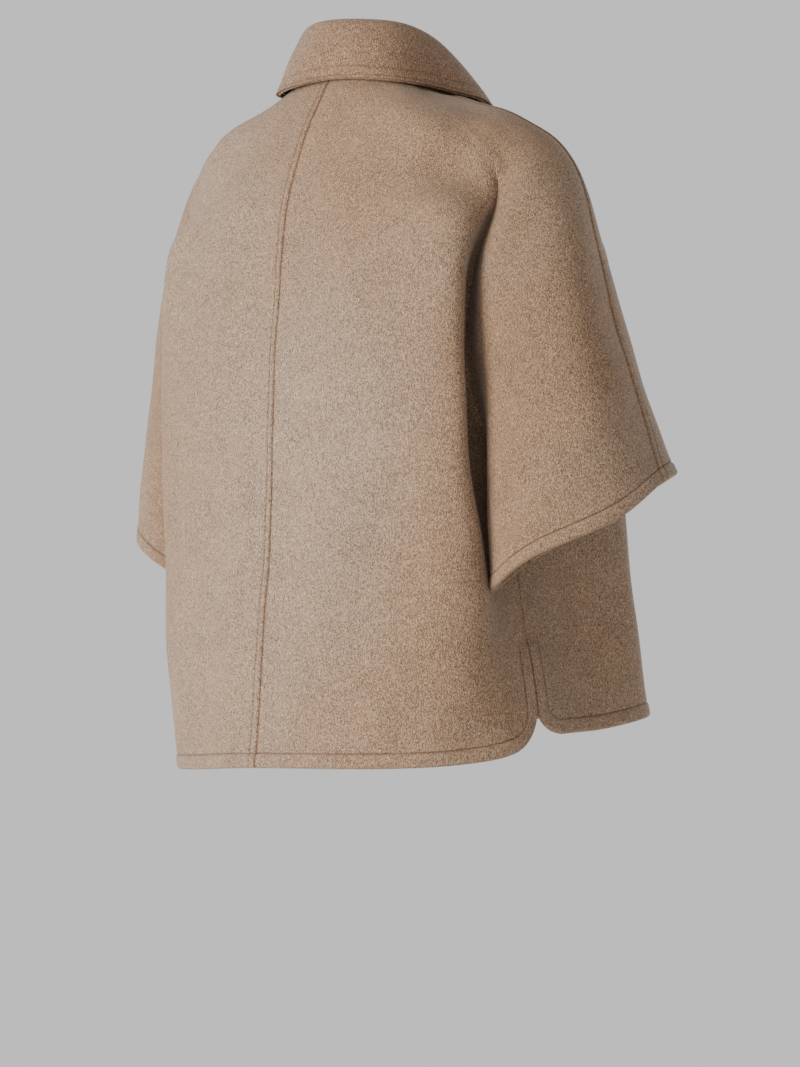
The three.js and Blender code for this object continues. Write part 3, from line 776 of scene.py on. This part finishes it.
# Painted shade and painted light: areas of the cloth made warmer and darker where it turns away from
# the key light or sinks into a fold, such as the left armpit's valley, and cooler, paler ones where it
# faces the light: (strength, radius, middle)
PAINTED_SHADING_PATCHES = [
    (0.75, 110, (-72, 95, -75)),
    (0.45, 70, (-165, 40, -50)),
    (0.35, 90, (-165, 90, -400)),
    (0.35, 120, (-145, 115, -520)),
    (0.7, 120, (-242, 55, -270)),
    (0.4, 70, (30, 90, -30)),
    (0.8, 34, (192, 66, -190)),
    (0.8, 34, (192, 66, -250)),
    (0.8, 34, (192, 64, -310)),
    (0.8, 34, (194, 62, -370)),
    (0.3, 90, (180, 95, -300)),
    (-0.6, 50, (62, 52, 34)),
    (0.5, 60, (-30, 60, 40)),
    (-0.35, 120, (120, 105, -110)),
    (-0.6, 140, (-30, 136, -320)),
    (-0.3, 70, (-268, -10, -310)),
    (0.4, 80, (240, 55, -240)),
    (0.4, 110, (110, -120, -220)),
    (-0.35, 120, (-100, -130, -300)),
    (0.4, 100, (-60, -145, -470)),
    (-0.3, 90, (160, -100, -450)),
]


# Painted shade and painted light at each point: the sum of the patches above, positive where the cloth
# is darkened and negative where it is paled
def painted_shading(points):
    total = np.zeros(len(points))
    for strength, radius, middle in PAINTED_SHADING_PATCHES:
        total += strength * np.exp(-(((points - np.array(middle)) ** 2).sum(1) / radius**2))
    return total


def panel(cloth, name, is_back):
    """One panel: its half of each seam gap, its relief and its thickness."""
    side = cloth.side
    points = cloth.points.copy()
    normals = cloth.normals
    arm_in_sleeve = cloth.overarm - cloth.groove
    if is_back:
        grids = (
            cloth.upper[:, : cloth.overarm + 1],
            cloth.body[:, : cloth.groove + 1],
            cloth.sleeve[:, : arm_in_sleeve + 1],
        )
    else:
        grids = (
            cloth.upper[:, cloth.overarm :],
            cloth.body[:, cloth.groove :],
            cloth.sleeve[:, arm_in_sleeve:],
        )
    inward = np.array([0, 1 if is_back else -1, 0])
    vent_depth = VENT_HEIGHT - CORNER_RADIUS
    side_line = cloth.body[1:, cloth.groove]
    vent_top = points[side_line[-1], UP] + vent_depth

    def pull(line, toward, amount):
        places = cloth.points[line]
        along = unit(np.gradient(places, axis=0))
        square = unit(np.cross(normals[line], along))
        sense = np.sign(square @ toward)
        points[line] = places + square * (sense * amount)[:, None]

    half = SEAM_GAP / 2
    arm_line = np.concatenate([cloth.upper[:, cloth.overarm], cloth.sleeve[1:, arm_in_sleeve]])
    pull(arm_line, inward, np.full(len(arm_line), half))
    loop = np.concatenate([side_line[::-1], cloth.sleeve[:, 0]])
    spread = VENT_SPREAD * smooth((vent_top - points[loop, UP]) / vent_depth)
    pull(loop, inward, half + spread)
    if is_back:
        centre = np.concatenate([cloth.upper[:, 0], cloth.body[1:, 0]])
        pull(centre, np.array([side, 0, 0]), np.full(len(centre), half))

    face = np.full(len(points), CLOTH / 2)
    back = np.full(len(points), CLOTH / 2)
    if is_back:
        face += relief(LAP_OVER if side > 0 else LAP_UNDER, cloth.centre)
        face += relief(LAP_UNDER, cloth.arm)
    else:
        face += relief(LAP_OVER, cloth.arm)
        shift = np.zeros(len(points))
        front = points[:, BACK] < 0
        past = points[:, ACROSS] * side
        share = smooth((OVERLAP_EASE - past) / (OVERLAP_EASE - FRONT_OVERLAP))
        shift[front] = -side * OVERLAP_LIFT * share[front]
        points = points + normals * shift[:, None]
    face += relief(PLAIN_SEAM, cloth.side_seam) + relief(HEM_FACE, cloth.edge)
    back += relief(HEM_BACK, cloth.edge)
    around = np.clip(1 - cloth.edge / EDGE_ROUND, 0, 1)
    turn = np.sqrt(np.clip(1 - around**2, 0, 1)) * (1 - EDGE_LEFT) + EDGE_LEFT
    sink = crease_depth(points)
    outer = points + normals * (face * turn - sink)[:, None]
    inner = points - normals * (back * turn + sink)[:, None]
    faces = np.vstack([quads(g) for g in grids])
    if side < 0:
        faces = faces[:, ::-1]
    seams = [(HEM_MARK, cloth.edge), (JOIN_MARK, cloth.side_seam), (JOIN_MARK, cloth.arm)]
    if is_back:
        seams.append((CENTRE_MARK, cloth.centre))
        if side > 0:
            seams.append((CENTRE_STITCH_MARK, cloth.centre))
    else:
        seams.append((ARM_STITCH_MARK, cloth.arm))
    groove = sum(darkened(mark, distance) for mark, distance in seams)
    # the last mark carries the painted shade and painted light to the material
    marks = {"slant": cloth.slant, "groove": np.minimum(groove, 1), "painted_shading": painted_shading(outer)}
    return shell(name, outer, inner, faces, marks)


# Collar, right half. A row for each place round the neck, from the centre back to the front end.
# Columns: across, back, up.
COLLAR_TOP = [
    (0, 55, 64.5),
    (41, 40, 60),
    (52, 18, 55),
    (57, -4, 44),
    (56, -28, 24),
    (43, -53, 1),
    (6, -69, -13),
]
COLLAR_EDGE = [
    (0, 75, 11),
    (65, 66, 4.4),
    (85, 25, 0.4),
    (90, -8, -3),
    (86, -44, -9),
    (76, -84, -44),
    (50, -108, -82),
]
# Neck seam under each of those places: line, line, share of the way to the second
COLLAR_FOOT = [
    ("centreBack", "blade", 0),
    ("backEdge", "backFlank", 0),
    ("sleeveBack", "sleeveOuter", 0),
    ("overarm", "sleeveFront", 0.6),
    ("frontFold", "frontGroove", 0),
    ("breast", "frontEdge", 0.4),
    ("centreFront", "breast", 0.1),
]
# How much higher the top and the edge lie at those places on the left
TOP_LIFT = [0, 7, 8, 8, 7, 4, 1]
EDGE_LIFT = [0, 4, 9, 12, 11, 7, 2]
LEAF_TURN = [(2.4, 0.6), (8.4, 1.4)]  # out from the stand, down from the top
LEAF_SHAPE = [(0.2, 2.8), (0.4, 3.1), (0.6, 2.6), (0.8, 1.2)]  # share of the fall, height above it
COLLAR_CELLS = 22  # columns from one place to the next
STAND_ROWS, LEAF_ROWS = 24, 44
COLLAR_STITCH = 11.0  # from the leaf's edge to its topstitching
# The upper layer stops a little short of the under layer, whose edge shows as a lip below it
LEAF_LIP = 2.8
LEAF_FACE = [(0, -1.3), (1.4, -0.9), (2.3, -1.1), (2.8, -1.5), (3.2, 0.1), (4, 0.8), (6, 1.1)]
LEAF_FACE += [(9, 0.8), (10.3, 0.1), (11, -0.9), (11.7, 0.2), (13, 0.9), (15.5, 0.4), (18, 0)]
LEAF_BACK = [(0, 0.5), (6, 0.4), (12, 0)]
LEAF_RIM = [(0.6, 0.9), (1.0, 0.6), (1.15, 0.2), (1.15, -0.2), (1.0, -0.6), (0.6, -0.9)]
LEAF_EDGE = np.array(
    [0, 0.4, 0.9, 1.5, 2, 2.4, 2.8, 3.1, 3.5, 4.1, 5, 6.5, 8, 9.2]
    + [10, 10.6, 11, 11.4, 12, 12.8, 14, 16, 18]
)
COLLAR_STITCH_MARK = (COLLAR_STITCH, 0.6, 1.1)
LIP_MARK = (LEAF_LIP, 1, 0.6)


def collar_places():
    """Foot, top and edge at each place round the neck, from the right front to the left front."""
    places = []
    for side in (-1, 1):
        curves = lines_of(side)
        lifted = 1 if side > 0 else 0
        rows = []
        for i, (first, second, share) in enumerate(COLLAR_FOOT):
            foot = curves[first](0)[0] * (1 - share) + curves[second](0)[0] * share
            foot = foot + [0, 0, COLLAR_SEAT]
            top = np.array(COLLAR_TOP[i], float) + [0, 0, TOP_LIFT[i] * lifted]
            edge = np.array(COLLAR_EDGE[i], float) + [0, 0, EDGE_LIFT[i] * lifted]
            rows.append(np.array([foot, top, edge]) * [side, 1, 1])
        places.append(rows)
    right, left = places
    return np.array(right[::-1] + left[1:])


def collar_axes(tops):
    """Ways out from the neck and up, square to the collar's top."""
    along = np.empty_like(tops)
    along[1:-1] = tops[2:] - tops[:-2]
    along[0], along[-1] = tops[1] - tops[0], tops[-1] - tops[-2]
    along = unit(along)
    outward = unit(np.stack([-along[:, 1], along[:, 0], np.zeros(len(along))], 1))
    return outward, np.cross(along, outward)


def stand_profiles(places):
    foot, top = places[:, 0], places[:, 1]
    head = top - collar_axes(top)[1] * COLLAR_ROLL
    return np.stack([head, (head + foot) / 2, foot], 1)


def leaf_profiles(places):
    top, edge = places[:, 1], places[:, 2]
    outward, upward = collar_axes(top)
    start = top + upward * (LEAF_SEAT - COLLAR_ROLL)
    turn = [top + outward * out - upward * down for out, down in LEAF_TURN]
    over = turn[-1]
    fall = edge - over
    rise = unit(np.cross(np.cross(fall, outward), fall))
    rise *= np.where(rise[:, 2:] < 0, -1, 1)
    middle = [over + fall * share + rise * height for share, height in LEAF_SHAPE]
    return np.stack([start] + turn + middle + [edge], 1)


def collar_grid(profiles, cells_across, by_edge):
    """Points of a collar piece, with their distances from its lower edge and from its ends.

    by_edge are the distances from both at which rows and columns are always placed.
    """
    count = len(profiles)
    knots = np.arange(count)
    curves = [spline(profiles[:, k], knots) for k in range(profiles.shape[1])]
    fine = np.linspace(0, count - 1, (count - 1) * FINE_STEPS + 1)
    run = chord_knots(curves[-1](fine))
    inner = np.linspace(by_edge[-1], run[-1] - by_edge[-1], (count - 1) * COLLAR_CELLS)
    wanted = np.concatenate([by_edge[:-1], inner, run[-1] - by_edge[:-1][::-1]])
    at = np.interp(wanted, run, fine)
    keys = np.stack([c(at) for c in curves])
    rows, down = [], []
    for j in range(len(at)):
        chord = chord_knots(keys[:, j])
        across = spline(keys[:, j], chord)
        plain = np.linspace(0, chord[-1] - by_edge[-1], cells_across + 1)
        places = np.concatenate([plain, chord[-1] - by_edge[:-1][::-1]])
        rows.append(across(places))
        down.append(chord[-1] - places)
    ends = np.minimum(wanted, run[-1] - wanted)
    return np.stack(rows, 1), np.stack(down, 1), ends


def grid_normals(points):
    down, right = np.gradient(points, axis=0), np.gradient(points, axis=1)
    return unit(np.cross(right, -down))


def collar_piece(name, profiles, thickness, cells_across, topstitched):
    points, down, ends = collar_grid(profiles, cells_across, LEAF_EDGE if topstitched else NO_EDGE)
    normals = grid_normals(points)
    face = np.full(points.shape[:2], thickness / 2)
    back = face.copy()
    groove = np.zeros(face.shape)
    if topstitched:
        edge = np.minimum(down, ends[None, :])
        face += relief(LEAF_FACE, edge)
        back += relief(LEAF_BACK, edge)
        groove += darkened(COLLAR_STITCH_MARK, edge) + darkened(LIP_MARK, edge)
    outer = (points + normals * face[..., None]).reshape(-1, 3)
    inner = (points - normals * back[..., None]).reshape(-1, 3)
    # the last mark carries the painted shade and painted light to the material
    marks = {"slant": np.zeros(len(outer)), "groove": groove.reshape(-1), "painted_shading": painted_shading(outer)}
    grid = np.arange(len(outer)).reshape(face.shape)
    return shell(name, outer, inner, quads(grid), marks, LEAF_RIM if topstitched else ())


# Noises of the cloth: scale on coordinates in metres, detail, and for those that follow the nap the
# share to which the coordinate along it shrinks, which draws the noise out into fibres
FIBRES = (1450, 2, 0.42)
STREAKS = (560, 3, 0.3)
PALE_FIBRES = (1600, 0, 0.4)
FLECKS = (1700, 1)
RUST_FIBRES = (1250, 1)
CLOUDS = (26, 3)
PATCHES = (7, 2)
NAP_LEAN = math.radians(35)

# position, linear colour
BODY_TONES = [
    (0.1, (0.062, 0.039, 0.024)),
    (0.4, (0.154, 0.105, 0.07)),
    (0.6, (0.213, 0.151, 0.104)),
    (0.92, (0.374, 0.291, 0.215)),
]
COLLAR_TONES = [
    (0.1, (0.052, 0.031, 0.019)),
    (0.4, (0.134, 0.085, 0.054)),
    (0.6, (0.186, 0.123, 0.082)),
    (0.92, (0.345, 0.25, 0.181)),
]
# what the mottled areas with their painted shade and painted light, the sunken thread and the rust
# fibres multiply the cloth's colour by
MOTTLE_AND_SHADE = (0.88, 0.75, 0.64)
THREAD = (0.66, 0.56, 0.48)
RUST = (0.9, 0.66, 0.46)
PALE = (0.44, 0.37, 0.3)  # colour of the pale fibres


def wool(name, tones):
    """Brushed, heathered wool: mixed fibre tones, a short nap that lies one way, a soft sheen, and
    painted shade and painted light from the points' marks.
    """
    material = bpy.data.materials.new(name)
    material.use_nodes = True
    nodes, links = material.node_tree.nodes, material.node_tree.links
    nodes.clear()
    out = nodes.new("ShaderNodeOutputMaterial")
    shader = nodes.new("ShaderNodeBsdfPrincipled")
    shader.inputs["Specular IOR Level"].default_value = 0.15
    shader.inputs["Sheen Weight"].default_value = 0.1
    shader.inputs["Sheen Roughness"].default_value = 0.5
    shader.inputs["Sheen Tint"].default_value = (0.9, 0.84, 0.78, 1)
    links.new(shader.outputs[0], out.inputs["Surface"])
    place = nodes.new("ShaderNodeTexCoord")
    slant, groove, painted_shading_input = (nodes.new("ShaderNodeAttribute") for _ in range(3))
    slant.attribute_name, groove.attribute_name, painted_shading_input.attribute_name = "slant", "groove", "painted_shading"

    def noise(size, detail, scale=(1, 1, 1), lean=0.0):
        mapping = nodes.new("ShaderNodeMapping")
        mapping.inputs["Rotation"].default_value = (0, lean, 0)
        mapping.inputs["Scale"].default_value = scale
        links.new(place.outputs["Object"], mapping.inputs["Vector"])
        made = nodes.new("ShaderNodeTexNoise")
        made.inputs["Scale"].default_value = size
        made.inputs["Detail"].default_value = detail
        made.inputs["Roughness"].default_value = 0.62
        links.new(mapping.outputs[0], made.inputs["Vector"])
        return made.outputs["Fac"]

    def nap(size, detail, share):
        """Streaks that hang on the body and lean over on the sleeves."""
        mix = nodes.new("ShaderNodeMix")
        links.new(slant.outputs["Fac"], mix.inputs["Factor"])
        links.new(noise(size, detail, (1, 1, share)), mix.inputs["A"])
        links.new(noise(size, detail, (1, 1, share), NAP_LEAN), mix.inputs["B"])
        return mix.outputs["Result"]

    def blend(parts, offset):
        """Sum of noises, each with its weight, about its middle value."""
        total = None
        for value, weight in parts:
            made = nodes.new("ShaderNodeMath")
            made.operation = "MULTIPLY_ADD"
            links.new(value, made.inputs[0])
            made.inputs[1].default_value = weight
            if total is None:
                made.inputs[2].default_value = offset - 0.5 * sum(w for _, w in parts)
            else:
                links.new(total, made.inputs[2])
            total = made.outputs[0]
        return total

    fibres, streaks = nap(*FIBRES), nap(*STREAKS)
    flecks, clouds, patches = noise(*FLECKS), noise(*CLOUDS), noise(*PATCHES)
    tone = blend([(fibres, 2.3), (streaks, 0.4), (clouds, 0.25), (flecks, 1.5)], 0.5)
    ramp = nodes.new("ShaderNodeValToRGB")
    ramp.color_ramp.interpolation = "B_SPLINE"
    stops = ramp.color_ramp.elements
    while len(stops) < len(tones):
        stops.new(0.5)
    for stop, (position, colour) in zip(stops, tones):
        stop.position = position
        stop.color = (*colour, 1)
    links.new(tone, ramp.inputs["Fac"])

    def multiplied(factor, colour, by):
        made = nodes.new("ShaderNodeMix")
        made.data_type = "RGBA"
        made.blend_type = "MULTIPLY"
        links.new(factor, made.inputs["Factor"])
        links.new(colour, made.inputs["A"])
        made.inputs["B"].default_value = (*by, 1)
        return made.outputs["Result"]

    # single orange-brown fibres, the mottled areas with their painted shade and painted light, and the
    # thread sunk in its seams
    mottle_and_shade = blend([(patches, 1.2), (clouds, 0.6), (flecks, 1.5), (painted_shading_input.outputs["Fac"], 1)], 0.9)
    colour = multiplied(mottle_and_shade, ramp.outputs["Color"], MOTTLE_AND_SHADE)
    colour = multiplied(blend([(noise(*RUST_FIBRES), 9)], -0.8), colour, RUST)
    pale = nodes.new("ShaderNodeMix")
    pale.data_type = "RGBA"
    links.new(blend([(nap(*PALE_FIBRES), 3)], -0.4), pale.inputs["Factor"])
    links.new(colour, pale.inputs["A"])
    pale.inputs["B"].default_value = (*PALE, 1)
    colour = pale.outputs["Result"]
    colour = multiplied(groove.outputs["Fac"], colour, THREAD)
    links.new(colour, shader.inputs["Base Color"])

    rough = blend([(streaks, 0.25)], 0.88)
    links.new(rough, shader.inputs["Roughness"])
    bump = nodes.new("ShaderNodeBump")
    bump.inputs["Strength"].default_value = 0.5
    bump.inputs["Distance"].default_value = 0.0007
    links.new(blend([(fibres, 0.8), (streaks, 0.9), (clouds, 1.5)], 0.5), bump.inputs["Height"])
    links.new(bump.outputs["Normal"], shader.inputs["Normal"])
    return material


def finish_piece(piece, node, material):
    piece.data.materials.append(material)
    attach(piece, "root")
    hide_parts(node)


wool_cloth = wool("taupe_wool", BODY_TONES)
collar_cloth = wool("collar_wool", COLLAR_TONES)
for side, hand in ((-1, "right"), (1, "left")):
    cloth = Cloth(side)
    for half in ("back", "front"):
        node = f"{half}_{hand}"
        piece = panel(cloth, "cloth_" + node, half == "back")
        finish_piece(piece, node, wool_cloth)

places = collar_places()
stand = collar_piece("cloth_collar_stand", stand_profiles(places), CLOTH, STAND_ROWS, False)
finish_piece(stand, "collar_stand", collar_cloth)
leaf = collar_piece("cloth_collar_leaf", leaf_profiles(places), COLLAR_CLOTH, LEAF_ROWS, True)
finish_piece(leaf, "collar_leaf", collar_cloth)

# Stage, lights and camera, in metres
FLOOR_RADIUS, FLOOR_HEIGHT, FLOOR_SIDES = 6.0, -1.4, 96
LIT_PLACE = (0.0, 0.0, -0.28)
# name: (place, size, power, colour)
LIGHTS = {
    "key": ((0.9, 3.1, 0.15), (1.8, 2.0), 215, (1.0, 0.99, 0.97)),
    "fill": ((-1.6, 2.2, -1.2), (2.6, 1.2), 34, (1.0, 0.98, 0.96)),
    "front_fill": ((0.6, -3.2, 0.6), (2.6, 2.0), 60, (1.0, 0.99, 0.98)),
}
AZIMUTH, ELEVATION, DISTANCE = math.radians(225), math.radians(-3.6), 3.3
TARGET = Vector((-0.00923, -0.00923, -0.3771))
SENSOR = 36.0  # millimetres
PIXEL, PICTURE_HEIGHT = 0.00087, 1067  # metres that a pixel spans at the target, and pixels


def area_light(name, place, size, power, colour):
    data = bpy.data.lights.new(name, "AREA")
    data.shape = "RECTANGLE"
    data.size, data.size_y = size
    data.energy = power
    data.color = colour
    light = bpy.data.objects.new(name, data)
    light.location = place
    light.rotation_euler = (Vector(LIT_PLACE) - Vector(place)).to_track_quat("-Z", "Y").to_euler()
    bpy.context.scene.collection.objects.link(light)


floor_mesh = bpy.data.meshes.new("studio_floor")
angles = np.linspace(0, 2 * math.pi, FLOOR_SIDES, endpoint=False)
ring = [(FLOOR_RADIUS * math.cos(a), FLOOR_RADIUS * math.sin(a), FLOOR_HEIGHT) for a in angles]
floor_mesh.from_pydata(ring, [], [list(range(len(ring)))])
floor = bpy.data.objects.new("studio_floor", floor_mesh)
bpy.context.scene.collection.objects.link(floor)
paint = bpy.data.materials.new("pale_floor")
paint.use_nodes = True
paint.node_tree.nodes["Principled BSDF"].inputs["Base Color"].default_value = (0.86, 0.86, 0.86, 1)
paint.node_tree.nodes["Principled BSDF"].inputs["Roughness"].default_value = 0.8
floor_mesh.materials.append(paint)

world = bpy.data.worlds.new("studio")
world.use_nodes = True
world.node_tree.nodes["Background"].inputs["Color"].default_value = (1.0, 1.0, 1.0, 1)
world.node_tree.nodes["Background"].inputs["Strength"].default_value = 0.76
bpy.context.scene.world = world

for name, settings in LIGHTS.items():
    area_light(name, *settings)

level = math.cos(ELEVATION)
towards = Vector((math.sin(AZIMUTH) * level, -math.cos(AZIMUTH) * level, math.sin(ELEVATION)))
camera_data = bpy.data.cameras.new("photo_camera")
camera_data.sensor_fit = "AUTO"
camera_data.sensor_width = SENSOR
camera_data.lens = DISTANCE / PIXEL * SENSOR / PICTURE_HEIGHT
camera = bpy.data.objects.new("photo_camera", camera_data)
camera.location = TARGET + towards * DISTANCE
camera.rotation_euler = (-towards).to_track_quat("-Z", "Y").to_euler()
bpy.context.scene.collection.objects.link(camera)
bpy.context.scene.camera = camera
